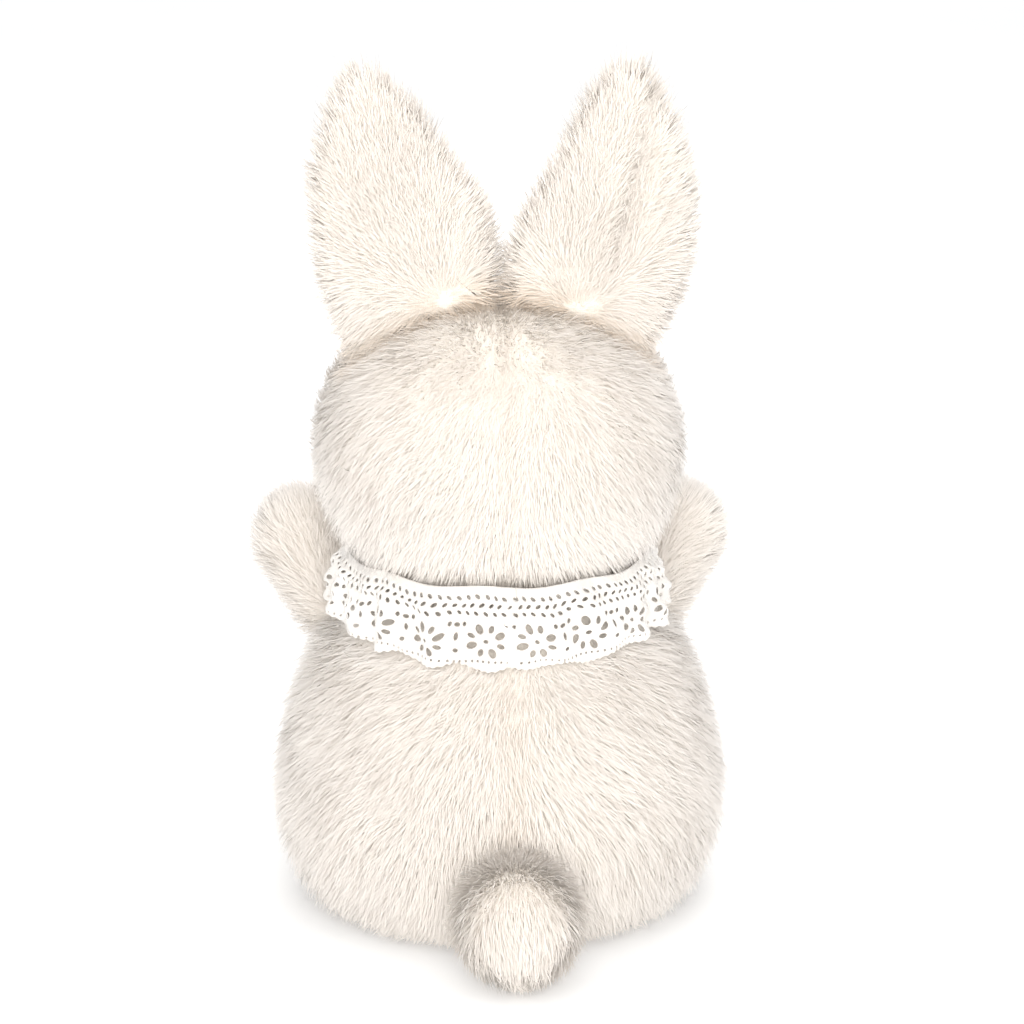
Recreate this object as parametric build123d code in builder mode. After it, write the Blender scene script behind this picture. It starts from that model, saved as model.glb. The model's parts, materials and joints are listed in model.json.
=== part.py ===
from build123d import *
import os
from math import cos, radians, sin, sqrt

# A seated stuffed rabbit about 275 mm tall, sewn from fur panels and filled with fibre.
# +Z is up, the rabbit faces -Y, its own left is +X, and the origin is on the surface that it sits
# on, at the middle of the seat.  Sizes are in millimetres and are those of the pile pressed down.

os.makedirs("parts", exist_ok=True)

# Fabric and clearances
SKIN = 2.5  # one fur panel with its pile pressed down
VELOUR = 1.4  # short-pile lining and sole fabric
GAP = 0.2  # between a cover and what fills it
JOINT_GAP = 0.6  # between two parts that move against each other
DIAGONAL = sin(radians(45))
TIP = 0.8  # a rounded end has a flat this far from its axis, where the panels are drawn together

# Body: a pear, as (radius, height) from the edge of the seat up to the neck opening
BODY_OUTLINE = [
    (43, 0), (57, 6), (65, 20), (67.5, 38), (64, 60), (57.5, 79), (50, 91), (40, 98), (28, 100.5), (19, 101)
]
# Head: the same from the neck opening up to the crown, about an axis a little in front
HEAD_OUTLINE = [
    (17, 105.8), (27, 109.5), (39, 117), (49, 130), (54, 147), (53, 163), (45.5, 179), (31, 190.5), (0, 197)
]
HEAD_SHIFT = -2

# Neck: a ball of fibre in a socket at both ends
NECK_CENTRE = (0, -2, 103)
NECK_RADIUS = 16

# Lace collar, a cone that hangs from the neckband over the shoulders
COLLAR_TOP_RADIUS = 46
COLLAR_TOP = 112
COLLAR_BOTTOM_RADIUS = 54
COLLAR_BOTTOM = 91
COLLAR_WALL = 2.6
COLLAR_RISE = 6  # degrees that the lower edge rises towards the front
BAND_WIDTH = 3.2

# Ears: the hinge line runs along the crown, from the middle outwards and down
EAR_ROOT = (5, 6, 204)
EAR_SLOPE = 26.4  # degrees that the root falls outwards
EAR_ROOT_LENGTH = 44
EAR_LEAN_BACK = 4
EAR_WADDING = 1.6

# Arms and legs: a ball at the root that the limb swings on
ARM_ROOT = (54, -38, 90)
ARM_PAW = (64, -48, 108)
ARM_ROOT_RADIUS = 11
PAW_RADIUS = 13.5
LEG_ROOT = (41, -71.2, 16)
LEG_ANKLE = (45, -99, 14)
LEG_RADIUS = 16
ANKLE_RADIUS = 14
FOOT_RADIUS = 15
FOOT_HEIGHT = 42
FOOT_FORWARD = 3  # the foot stands up this far in front of the ankle
SOLE_CUT = 10  # from the foot's middle forward to its flat sole
SOLE_SIZE = (10, 13)

# Tail: a ball gathered to a short root
TAIL_ROOT = (0, 68, 21)  # clear of the back panels, so that the tail can lift
TAIL_RADIUS = 14.5
TAIL_ROOT_RADIUS = 4.5
TAIL_REACH = 18  # from the root to the ball's centre

# Face
EYE_SPREAD = 21
EYE_HEIGHT = 150
EYE_RADIUS = 5
EYE_STEM_RADIUS = 1.4
EYE_STEM_LENGTH = 10
WASHER_RADIUS = 6
WASHER_DEPTH = 3.4
WASHER_THICKNESS = 1.0
NOSE_HEIGHT = 138
SIDES = {"left": 1, "right": -1}


def save(solid, name):
    solid.label = name
    export_step(solid, f"parts/{name}.step")


def inset_outline(outline, inset):
    """The outline moved inset to its left, which is towards the filling."""
    moved = []
    for i, (radius, height) in enumerate(outline):
        r1, h1 = outline[max(i - 1, 0)]
        r2, h2 = outline[min(i + 1, len(outline) - 1)]
        run, rise = r2 - r1, h2 - h1
        length = sqrt(run**2 + rise**2)
        if i == 0:
            moved.append((radius, height + inset))
        elif radius == 0:
            moved.append((0, height - inset))
        else:
            moved.append((radius - inset * rise / length, height + inset * run / length))
    return moved


def upright(start):
    """A plane through the vertical axis, start degrees round from the rabbit's left."""
    a = radians(start)
    return Plane((0, 0, 0), x_dir=(cos(a), sin(a), 0), z_dir=(sin(a), -cos(a), 0))


def cover_panel(outline, start, arc):
    """One panel of a cover, turned through arc about the vertical axis."""
    with BuildPart() as panel:
        with BuildSketch(upright(start)):
            with BuildLine():
                outside = Spline(*outline)
                inside = Spline(*inset_outline(outline, SKIN))
                Line(outside @ 0, inside @ 0)
                Line(outside @ 1, inside @ 1)
            make_face()
        revolve(axis=Axis.Z, revolution_arc=arc)
    return panel.part


def filling(outline, socket_radius):
    """The fibre inside a cover, with a round socket for the neck at its open end."""
    inner = inset_outline(outline, SKIN + GAP)
    with BuildPart() as fibre:
        with BuildSketch(Plane.XZ):
            with BuildLine():
                side = Spline(*inner)
                axis_end = (0, inner[-1][1])
                Polyline(side @ 0, (0, inner[0][1]), axis_end)
                if inner[-1][0] > 0:
                    Line(axis_end, side @ 1)
            make_face()
            with Locations((0, NECK_CENTRE[2])):
                Circle(socket_radius, mode=Mode.SUBTRACT)
        revolve(axis=Axis.Z)
    return fibre.part


def ellipsoid(centre, radius, half_height):
    """A round pad or foot: an oval turned about its vertical axis."""
    with BuildPart() as shape:
        with BuildSketch(Plane.XZ):
            with BuildLine():
                foot, crown = (0, -half_height), (0, half_height)
                low = (radius * DIAGONAL, -half_height * DIAGONAL)
                high = (radius * DIAGONAL, half_height * DIAGONAL)
                Spline(foot, low, (radius, 0), high, crown, tangents=[(1, 0), (-1, 0)])
                Line(crown, foot)
            make_face()
        revolve(axis=Axis.Z)
    return shape.part.moved(Location(centre))


# ---- body ----
with BuildPart() as base_panel:
    edge = BODY_OUTLINE[0][0]
    with BuildSketch(Plane.XZ):
        with BuildLine():
            Polyline((0, 0), (edge, 0), (edge, SKIN), (0, SKIN), close=True)
        make_face()
    revolve(axis=Axis.Z)
save(base_panel.part, "base_panel")

save(cover_panel(BODY_OUTLINE, 180, 180), "belly_panel")
save(cover_panel(BODY_OUTLINE, 0, 90), "back_panel_left")
save(cover_panel(BODY_OUTLINE, 90, 90), "back_panel_right")

POUCH_CENTRE = (0, 0, 17)
POUCH_RADIUS = 38
POUCH_HALF_HEIGHT = 11
save(ellipsoid(POUCH_CENTRE, POUCH_RADIUS, POUCH_HALF_HEIGHT), "pellet_pouch")

with BuildPart() as body_stuffing:
    add(filling(BODY_OUTLINE, NECK_RADIUS + 2 + JOINT_GAP))
    add(ellipsoid(POUCH_CENTRE, POUCH_RADIUS + GAP, POUCH_HALF_HEIGHT + GAP), mode=Mode.SUBTRACT)
save(body_stuffing.part, "body_stuffing")

# ---- neck ----
with BuildPart() as neck_stuffing:
    with Locations(NECK_CENTRE):
        Sphere(NECK_RADIUS)
save(neck_stuffing.part, "neck_stuffing")

# ---- collar ----
with BuildPart() as lace_collar:
    with BuildSketch(Plane.XZ):
        with BuildLine():
            Polyline(
                (COLLAR_TOP_RADIUS, COLLAR_TOP),
                (COLLAR_BOTTOM_RADIUS, COLLAR_BOTTOM),
                (COLLAR_BOTTOM_RADIUS + COLLAR_WALL, COLLAR_BOTTOM),
                (COLLAR_TOP_RADIUS + COLLAR_WALL, COLLAR_TOP),
                close=True,
            )
        make_face()
    revolve(axis=Axis.Z)
    hem = Plane((0, COLLAR_BOTTOM_RADIUS, COLLAR_BOTTOM)).rotated((-COLLAR_RISE, 0, 0))
    split(bisect_by=hem, keep=Keep.TOP)
save(lace_collar.part, "lace_collar")

with BuildPart() as collar_neckband:
    with BuildSketch(Plane.XZ):
        with Locations((COLLAR_TOP_RADIUS + COLLAR_WALL / 2, COLLAR_TOP + GAP + BAND_WIDTH / 2)):
            RectangleRounded(COLLAR_WALL, BAND_WIDTH, 0.8)
    revolve(axis=Axis.Z)
save(collar_neckband.part, "collar_neckband")


# ---- face ----
def head_radius(height):
    """The head's half width at a height, read from its outline by straight steps."""
    for (r1, h1), (r2, h2) in zip(HEAD_OUTLINE, HEAD_OUTLINE[1:]):
        if h1 <= height <= h2:
            return r1 + (r2 - r1) * (height - h1) / (h2 - h1)
    raise ValueError("that height is outside the head's outline")


def face_plane(x, height, lift):
    """A plane on the face at x and height, looking outwards, lift mm off the surface."""
    radius = head_radius(height)
    outward = Vector(x, -sqrt(radius**2 - x**2), 0).normalized()
    level = Vector(0, 0, 1).cross(outward)
    place = outward * (radius + lift) + Vector(0, HEAD_SHIFT, height)
    return Plane(place, x_dir=level, z_dir=outward)


with BuildPart() as washers_and_stems:
    for across in SIDES.values():
        eye_seat = face_plane(across * EYE_SPREAD, EYE_HEIGHT, 0)
        with BuildSketch(eye_seat):
            Circle(EYE_STEM_RADIUS + GAP)
        extrude(amount=-EYE_STEM_LENGTH - 2)
        with BuildSketch(eye_seat.offset(-SKIN)):
            Circle(WASHER_RADIUS + GAP)
        extrude(amount=-WASHER_DEPTH - WASHER_THICKNESS + SKIN - GAP)

with BuildPart() as stem_holes:
    for across in SIDES.values():
        with BuildSketch(face_plane(across * EYE_SPREAD, EYE_HEIGHT, 3)):
            Circle(EYE_STEM_RADIUS + GAP)
        extrude(amount=-3 - EYE_STEM_LENGTH)

for side, across in SIDES.items():
    eye_seat = face_plane(across * EYE_SPREAD, EYE_HEIGHT, 0.5)
    with BuildPart() as eye:
        with BuildSketch(eye_seat):
            Circle(EYE_RADIUS)
        extrude(amount=2.6)
        fillet(eye.faces().sort_by(SortBy.DISTANCE)[-1].edges(), 2.2)
        with BuildSketch(eye_seat):
            Circle(EYE_STEM_RADIUS)
        extrude(amount=-EYE_STEM_LENGTH)
    save(eye.part, f"eye_{side}")

    with BuildPart() as eye_washer:
        with BuildSketch(eye_seat.offset(-0.5 - WASHER_DEPTH)):
            Circle(WASHER_RADIUS)
            Circle(EYE_STEM_RADIUS + GAP, mode=Mode.SUBTRACT)
        extrude(amount=-WASHER_THICKNESS)
    save(eye_washer.part, f"eye_washer_{side}")

nose_seat = face_plane(0, NOSE_HEIGHT, 1.9)
with BuildPart() as nose:
    with BuildSketch(nose_seat):
        Ellipse(5.5, 4)
    extrude(amount=3)
    fillet(nose.faces().sort_by(Axis.Y)[0].edges(), 1.6)
save(nose.part, "nose")

MOUTH_THREAD = 0.6
MOUTH_DROP = 6
mouth_front = nose_seat.origin.Y - 0.6
with BuildPart() as mouth_stitches:
    with BuildSketch(Plane.XZ.offset(-mouth_front)):
        with BuildLine():
            Line((0, NOSE_HEIGHT - 5.6), (0, NOSE_HEIGHT - 5.6 - MOUTH_DROP))
            Line((0, NOSE_HEIGHT - 5.6 - MOUTH_DROP), (5, NOSE_HEIGHT - 9 - MOUTH_DROP))
            Line((0, NOSE_HEIGHT - 5.6 - MOUTH_DROP), (-5, NOSE_HEIGHT - 9 - MOUTH_DROP))
        trace(line_width=2 * MOUTH_THREAD)
    extrude(amount=2 * MOUTH_THREAD)
save(mouth_stitches.part, "mouth_stitches")

# ---- head ----
HEAD_PANELS = {"face_right": 180, "face_left": 270, "head_back_left": 0, "head_back_right": 90}
for name, start in HEAD_PANELS.items():
    with BuildPart() as head_panel:
        add(cover_panel(HEAD_OUTLINE, start, 90).moved(Location((0, HEAD_SHIFT, 0))))
        if name.startswith("face"):
            add(stem_holes.part, mode=Mode.SUBTRACT)
    save(head_panel.part, name)

with BuildPart() as head_stuffing:
    add(filling(HEAD_OUTLINE, NECK_RADIUS + JOINT_GAP).moved(Location((0, HEAD_SHIFT, 0))))
    add(washers_and_stems.part, mode=Mode.SUBTRACT)
save(head_stuffing.part, "head_stuffing")

# ---- ears ----
# In the ear's own plane, x runs outwards along the root and y up to the tip.
EAR_MIDDLE = (17, 38)
EAR_OUTLINE = [
    (-5, 9), (-9.3, 24), (-7, 44.5), (-3.4, 65), (4, 76.5), (13.2, 74.7), (24, 65), (33, 50.5), (40, 30), (43.4, 9.3)
]


def ear_layer(across, share, front, thickness):
    """One flat layer of an ear, share of its full size, from front to front plus thickness."""
    root = Vector(EAR_ROOT[0] * across, EAR_ROOT[1], EAR_ROOT[2])
    along = Vector(cos(radians(EAR_SLOPE)) * across, 0, -sin(radians(EAR_SLOPE)))
    lean = radians(EAR_LEAN_BACK)
    up = Vector(sin(radians(EAR_SLOPE)) * across, 0, cos(radians(EAR_SLOPE)))
    up = up * cos(lean) + Vector(0, 1, 0) * sin(lean)
    blade = Plane(root, x_dir=along, z_dir=along.cross(up))
    mid_x, mid_y = EAR_MIDDLE

    def at(x, y):
        return (mid_x + (x - mid_x) * share, mid_y + (y - mid_y) * share)

    with BuildPart() as layer:
        with BuildSketch(blade.offset(front)):
            with BuildLine():
                first, last = at(2, -2), at(EAR_ROOT_LENGTH - 2, -2)
                Spline(first, *[at(x, y) for x, y in EAR_OUTLINE], last)
                ThreePointArc(last, at(EAR_ROOT_LENGTH / 2, 0), first)
            make_face()
        extrude(amount=thickness)
    return layer.part


for side, across in SIDES.items():
    # the layers' plane looks forwards on the left ear and backwards on the right one
    half = EAR_WADDING / 2
    save(ear_layer(across, 0.86, -half, 2 * half), f"ear_batting_{side}")
    inner_face = half + GAP / 2
    if across > 0:
        save(ear_layer(across, 0.95, inner_face, VELOUR), f"ear_lining_{side}")
        save(ear_layer(across, 1, -inner_face - SKIN, SKIN), f"ear_back_{side}")
    else:
        save(ear_layer(across, 0.95, -inner_face - VELOUR, VELOUR), f"ear_lining_{side}")
        save(ear_layer(across, 1, inner_face, SKIN), f"ear_back_{side}")


# ---- arms and legs ----
def limb_shape(root, end, root_radius, end_radius, inset):
    """A round limb with a ball at each end, inset all round."""
    root, end = Vector(*root), Vector(*end)
    length = (end - root).length
    a, b = root_radius - inset, end_radius - inset
    slope = (b - a) / length  # sine of the angle that the side opens by
    level = sqrt(1 - slope**2)
    bottom, top = -sqrt(a**2 - TIP**2), length + sqrt(b**2 - TIP**2)
    low, high = (a * level, -a * slope), (b * level, length - b * slope)
    with BuildPart() as limb:
        with BuildSketch(Plane.XZ):
            with BuildLine():
                ThreePointArc((TIP, bottom), (a * DIAGONAL, -a * DIAGONAL), low)
                Line(low, high)
                ThreePointArc(high, (b * DIAGONAL, length + b * DIAGONAL), (TIP, top))
                Polyline((TIP, top), (0, top), (0, bottom), (TIP, bottom))
            make_face()
        revolve(axis=Axis.Z)
    return limb.part.moved(Plane(root, z_dir=end - root).location)


def on_side(point, across):
    return (point[0] * across, point[1], point[2])


for side, across in SIDES.items():
    root, paw = on_side(ARM_ROOT, across), on_side(ARM_PAW, across)
    seam = Plane(root, z_dir=(Vector(*paw) - Vector(*root)).cross(Vector(0, 0, 1)) * across)
    with BuildPart() as arm_cover:
        add(limb_shape(root, paw, ARM_ROOT_RADIUS, PAW_RADIUS, 0))
        add(limb_shape(root, paw, ARM_ROOT_RADIUS, PAW_RADIUS, SKIN), mode=Mode.SUBTRACT)
    for panel, keep in (("arm_outer", Keep.TOP), ("arm_inner", Keep.BOTTOM)):
        with BuildPart() as arm_panel:
            add(arm_cover.part)
            split(bisect_by=seam, keep=keep)
        save(arm_panel.part, f"{panel}_{side}")
    save(limb_shape(root, paw, ARM_ROOT_RADIUS, PAW_RADIUS, SKIN + GAP), f"arm_stuffing_{side}")

    hip, ankle = on_side(LEG_ROOT, across), on_side(LEG_ANKLE, across)
    foot_y = ankle[1] - FOOT_FORWARD
    heel = (ankle[0], foot_y, FOOT_RADIUS)
    toe = (ankle[0], foot_y, FOOT_HEIGHT - FOOT_RADIUS)
    sole_middle = (ankle[0], foot_y - SOLE_CUT, FOOT_HEIGHT / 2)
    sole_plane = Plane(sole_middle, x_dir=(1, 0, 0), z_dir=(0, -1, 0))

    def leg_shape(inset):
        with BuildPart() as leg:
            add(limb_shape(hip, ankle, LEG_RADIUS, ANKLE_RADIUS, inset))
            add(limb_shape(heel, toe, FOOT_RADIUS, FOOT_RADIUS, inset))
            split(bisect_by=sole_plane.offset(-inset), keep=Keep.BOTTOM)
        return leg.part

    with BuildPart() as leg_cover:
        add(leg_shape(0))
        add(leg_shape(SKIN), mode=Mode.SUBTRACT)
    save(leg_cover.part, f"leg_cover_{side}")
    save(leg_shape(SKIN + GAP), f"leg_stuffing_{side}")
    with BuildPart() as sole_pad:
        with BuildSketch(sole_plane.offset(GAP / 2)):
            Ellipse(*SOLE_SIZE)
        extrude(amount=VELOUR)
    save(sole_pad.part, f"sole_pad_{side}")


# ---- tail ----
def tail_shape(inset):
    """A ball drawn in to a small root, turned about the line that it stands out on."""
    radius, root_radius = TAIL_RADIUS - inset, TAIL_ROOT_RADIUS - inset
    shoulder = (radius * 0.83, TAIL_REACH - radius * sqrt(1 - 0.83**2))
    with BuildPart() as tail:
        with BuildSketch(Plane.XZ):
            with BuildLine():
                end = TAIL_REACH + sqrt(radius**2 - TIP**2)
                Polyline((0, inset), (root_radius, inset), shoulder)
                ThreePointArc(shoulder, (radius, TAIL_REACH), (TIP, end))
                Polyline((TIP, end), (0, end), (0, inset))
            make_face()
        revolve(axis=Axis.Z)
    return tail.part.moved(Plane(TAIL_ROOT, z_dir=(0, 1, 0)).location)


with BuildPart() as tail_cover:
    add(tail_shape(0))
    add(tail_shape(SKIN), mode=Mode.SUBTRACT)
save(tail_cover.part, "tail_cover")
save(tail_shape(SKIN + GAP), "tail_stuffing")
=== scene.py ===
import json
from math import cos, pi, radians, sin
import bpy
import numpy as np
from numpy.linalg import norm
from numpy.random import default_rng
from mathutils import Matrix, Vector
from mathutils.kdtree import KDTree


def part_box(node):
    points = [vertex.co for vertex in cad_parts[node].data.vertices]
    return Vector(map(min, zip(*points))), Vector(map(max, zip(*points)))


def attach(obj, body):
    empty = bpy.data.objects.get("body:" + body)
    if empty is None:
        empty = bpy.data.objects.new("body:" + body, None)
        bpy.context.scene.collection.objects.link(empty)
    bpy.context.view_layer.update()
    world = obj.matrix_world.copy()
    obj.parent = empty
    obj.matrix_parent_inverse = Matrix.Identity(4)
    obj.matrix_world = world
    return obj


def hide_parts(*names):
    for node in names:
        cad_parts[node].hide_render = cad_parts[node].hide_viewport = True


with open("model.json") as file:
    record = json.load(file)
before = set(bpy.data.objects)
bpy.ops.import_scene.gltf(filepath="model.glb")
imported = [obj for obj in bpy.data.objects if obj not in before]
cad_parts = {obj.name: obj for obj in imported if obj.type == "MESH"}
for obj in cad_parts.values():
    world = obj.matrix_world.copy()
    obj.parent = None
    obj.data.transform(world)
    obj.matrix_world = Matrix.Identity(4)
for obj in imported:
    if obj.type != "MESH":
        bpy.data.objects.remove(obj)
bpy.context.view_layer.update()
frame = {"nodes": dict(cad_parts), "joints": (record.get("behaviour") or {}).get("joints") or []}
JOINTS = {joint["name"]: joint for joint in frame["joints"]}
SIDES = {"left": 1, "right": -1}
MM = 0.001
UP = np.array([0.0, 0.0, 1.0])


def box(node):
    low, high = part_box(node)
    return np.array(low), np.array(high)


def pivot(joint):
    return np.array(JOINTS[joint]["pos_m"])


def clamp(values):
    return np.clip(values, 0, 1)


# The pile's lengths, in metres
BODY_PILE, HEAD_PILE, TAIL_PILE = 0.0135, 0.0120, 0.0120
NOSE_PILE, CHEEK_MORE = 0.0065, 0.0055  # beside the nose, and how much is added at the side seam
EAR_PILE, FRINGE_PILE, EAR_VELOUR = 0.0105, 0.0115, 0.0026
ARM_PILE, SHIN_PILE, FOOT_PILE, SOLE_VELOUR = 0.0105, 0.0095, 0.008, 0.002
STRAND, FINE_STRAND = 0.00038, 0.00036  # how wide a strand is at its foot
UNDERCOAT = 0.0022  # how thick the dense short pile is, through which the long strands come
THIN_UNDERCOAT = 0.0003  # beside the nose
VELOUR_UNDERCOAT = 0.0005
SEAM_WIDTH = 0.004  # how far from a seam the pile parts
SEAM_DIP = 0.0008
OFF_FLOOR = 0.0003  # how far the undercoat stays above the floor

# Colours, linear
TIP_COLOUR = (0.975, 0.925, 0.875)
# painted light: the long pile's root is a little lighter than its tip, to offset the shade that
# falls among the roots
PAINTED_LIGHT_ROOT_COLOUR = (0.985, 0.935, 0.88)
# painted shade: the tan that the pile's colour goes towards in the partings of seams, at the feet
# of the ears and tail, and under the collar's hem, where shade falls
PAINTED_SHADE_COLOUR = (0.86, 0.70, 0.54)
LACE_COLOUR = (0.97, 0.935, 0.895)
BACKING_COLOUR = (0.98, 0.93, 0.875)
LINING_COLOUR = (0.93, 0.78, 0.72)
NOSE_COLOUR = (0.58, 0.30, 0.27)


# ---- materials
def shader(name, colour, roughness, sheen=0.0, **sockets):
    """A material with a Principled shader, with its node tree and the shader's node."""
    made = bpy.data.materials.new(name)
    made.use_nodes = True
    tree = made.node_tree
    surface = tree.nodes["Principled BSDF"]
    surface.inputs["Base Color"].default_value = (*colour, 1)
    surface.inputs["Roughness"].default_value = roughness
    surface.inputs["Sheen Weight"].default_value = sheen
    for key, value in sockets.items():
        surface.inputs[key.replace("_", " ")].default_value = value
    return made, tree, surface


def link(source, output, target, socket):
    target.id_data.links.new(source.outputs[output], target.inputs[socket])


def add_node(tree, kind, **values):
    node = tree.nodes.new("ShaderNode" + kind)
    for key, value in values.items():
        if key in node.inputs:
            node.inputs[key].default_value = value
        else:
            setattr(node, key, value)
    return node


def mottled(tree, colour_a, colour_b, scale, detail=3.0):
    """A colour that drifts between two over the object, and the noise it follows."""
    place = add_node(tree, "TexCoord")
    noise = add_node(tree, "TexNoise", Scale=scale, Detail=detail, Roughness=0.6)
    ramp = add_node(tree, "ValToRGB")
    ends = ((0.35, colour_a), (0.68, colour_b))
    for element, (position, colour) in zip(ramp.color_ramp.elements, ends):
        element.position = position
        element.color = (*colour, 1)
    link(place, "Object", noise, "Vector")
    link(noise, "Fac", ramp, "Fac")
    return ramp.outputs["Color"], noise


def bumped(tree, surface, height, strength, distance):
    bump = add_node(tree, "Bump", Strength=strength, Distance=distance)
    tree.links.new(height, bump.inputs["Height"])
    link(bump, "Normal", surface, "Normal")


def tint(colour, share):
    return tuple(min(1.0, channel * share) for channel in colour)


def fur_material(name, tip, root):
    """Pile: its colour goes from the root's to the tip's along each strand (darker at the root on
    the short pile, painted a little lighter there on the long pile), with each tuft and each area a
    little different, and painted shade mixed in by the pile attribute.
    """
    made, tree, surface = shader(name, tip, 0.82, sheen=0.35, Sheen_Roughness=0.6)
    pile = add_node(tree, "Attribute", attribute_name="pile")
    parts = add_node(tree, "SeparateColor")
    link(pile, "Color", parts, "Color")
    drift, _ = mottled(tree, tint(tip, 0.955), tint(tip, 1.03), 38.0)
    length = add_node(tree, "Mix", data_type="RGBA")
    length.inputs["A"].default_value = (*root, 1)
    link(parts, "Red", length, "Factor")
    tree.links.new(drift, length.inputs["B"])
    tone = add_node(tree, "Mix", data_type="RGBA", blend_type="MULTIPLY")
    shade = add_node(tree, "ValToRGB")
    shade.color_ramp.elements[0].color = (0.955, 0.95, 0.945, 1)
    shade.color_ramp.elements[1].color = (1.0, 1.0, 1.0, 1)
    link(parts, "Green", shade, "Fac")
    tone.inputs["Factor"].default_value = 1.0
    link(length, "Result", tone, "A")
    link(shade, "Color", tone, "B")
    # painted shade: the pile attribute's third channel mixes the painted shade colour into the
    # strands
    painted_shade_mix = add_node(tree, "Mix", data_type="RGBA")
    painted_shade_mix.inputs["B"].default_value = (*PAINTED_SHADE_COLOUR, 1)
    link(parts, "Blue", painted_shade_mix, "Factor")
    link(tone, "Result", painted_shade_mix, "A")
    link(painted_shade_mix, "Result", surface, "Base Color")
    return made


def cloth_material(name, colour, weave, strength=0.35, roughness=0.9, sheen=0.25):
    """Woven or knitted cloth with a fine weave of crossing threads."""
    made, tree, surface = shader(name, colour, roughness, sheen=sheen)
    tone, _ = mottled(tree, tint(colour, 0.93), tint(colour, 1.04), 60.0)
    tree.links.new(tone, surface.inputs["Base Color"])
    place = add_node(tree, "TexCoord")
    cross = add_node(tree, "Math", operation="MAXIMUM")
    for k, direction in enumerate(("X", "Z")):
        wave = add_node(tree, "TexWave", Scale=weave, Distortion=1.2,
                        bands_direction=direction)
        link(place, "Object", wave, "Vector")
        link(wave, "Fac", cross, k)
    bumped(tree, surface, cross.outputs["Value"], strength, 0.0003)
    return made


FUR = fur_material("long_pile", TIP_COLOUR, PAINTED_LIGHT_ROOT_COLOUR)
BACKING = cloth_material("pile_backing", BACKING_COLOUR, 420.0)
VELOUR_PILE = fur_material("short_pile", LINING_COLOUR, tint(LINING_COLOUR, 0.9))
VELOUR = cloth_material("velour", LINING_COLOUR, 700.0, 0.2)
LACE = cloth_material("lace_cotton", LACE_COLOUR, 900.0, 0.5, 0.85, 0.1)
TAPE = cloth_material("tape_cotton", tint(LACE_COLOUR, 0.97), 500.0, 0.5)
FIBRE = cloth_material("polyester_fibre", (0.9, 0.9, 0.89), 150.0, 0.8)
POUCH = cloth_material("pouch_cotton", (0.8, 0.76, 0.68), 400.0, 0.5)
THREAD = cloth_material("nose_thread", NOSE_COLOUR, 900.0, 0.5, 0.55, 0.3)


def plastic_material(name, colour, roughness, coat):
    made, tree, surface = shader(name, colour, roughness, Coat_Weight=coat, Coat_Roughness=0.04)
    tone, noise = mottled(tree, tint(colour, 0.8), tint(colour, 1.25), 220.0)
    tree.links.new(tone, surface.inputs["Base Color"])
    bumped(tree, surface, noise.outputs["Fac"], 0.04, 0.0002)
    return made


EYE = plastic_material("eye_plastic", (0.03, 0.016, 0.01), 0.12, 0.8)
WASHER = plastic_material("washer_plastic", (0.75, 0.75, 0.75), 0.5, 0.0)


# ---- mesh building
def unit(v):
    return v / np.maximum(norm(v, axis=-1, keepdims=True), 1e-12)


def smooth_curve(points, count):
    """count points along a smooth curve through the given ones (Catmull-Rom, evenly spread)."""
    p = np.array(points, float)
    p = np.vstack([2 * p[0] - p[1], p, 2 * p[-1] - p[-2]])
    fine = []
    for i in range(1, len(p) - 2):
        t = np.linspace(0, 1, 24, endpoint=False)[:, None]
        a, b, c, d = p[i - 1], p[i], p[i + 1], p[i + 2]
        fine.append(0.5 * (2 * b + (c - a) * t + (2 * a - 5 * b + 4 * c - d) * t**2
                           + (3 * b - a - 3 * c + d) * t**3))
    fine = np.vstack(fine + [p[-2:-1]])
    along = np.concatenate([[0], np.cumsum(norm(np.diff(fine, axis=0), axis=1))])
    at = np.linspace(0, along[-1], count)
    return np.stack([np.interp(at, along, fine[:, k]) for k in range(fine.shape[1])], 1)


def grid_faces(rows, columns, first=0):
    """Quads of a grid of rows by columns points, stored row by row."""
    i, j = np.meshgrid(np.arange(rows - 1), np.arange(columns - 1), indexing="ij")
    a = (i * columns + j).ravel() + first
    return np.stack([a, a + 1, a + columns + 1, a + columns], 1)


def grid_normals(points, outward):
    """Normals of a grid (rows, columns, 3), on the side that outward points to."""
    down, across = np.gradient(points, axis=0), np.gradient(points, axis=1)
    normal = unit(np.cross(across, down))
    missing = norm(np.cross(across, down), axis=2) < 1e-13
    normal[missing] = unit(outward)[missing]
    flip = np.sign((normal * outward).sum(-1, keepdims=True))
    return normal * np.where(flip == 0, 1, flip)


def facing_out(points, normals):
    """The faces of a grid, turned so that they face the way that its normals do."""
    faces = grid_faces(*points.shape[:2])
    flat, flat_n = points.reshape(-1, 3), normals.reshape(-1, 3)
    cross = np.cross(flat[faces[:, 2]] - flat[faces[:, 0]], flat[faces[:, 3]] - flat[faces[:, 1]])
    if (cross * flat_n[faces[:, 0]]).sum() < 0:
        faces = faces[:, ::-1]
    return faces


def add_object(name, data):
    obj = bpy.data.objects.new(name, data)
    bpy.context.scene.collection.objects.link(obj)
    return obj


def floats(values):
    return np.ascontiguousarray(values, np.float32).ravel()


def plain_mesh(name, vertices, faces, material):
    mesh = bpy.data.meshes.new(name)
    mesh.from_pydata(vertices, [], faces)
    mesh.materials.append(material)
    return mesh


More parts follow.
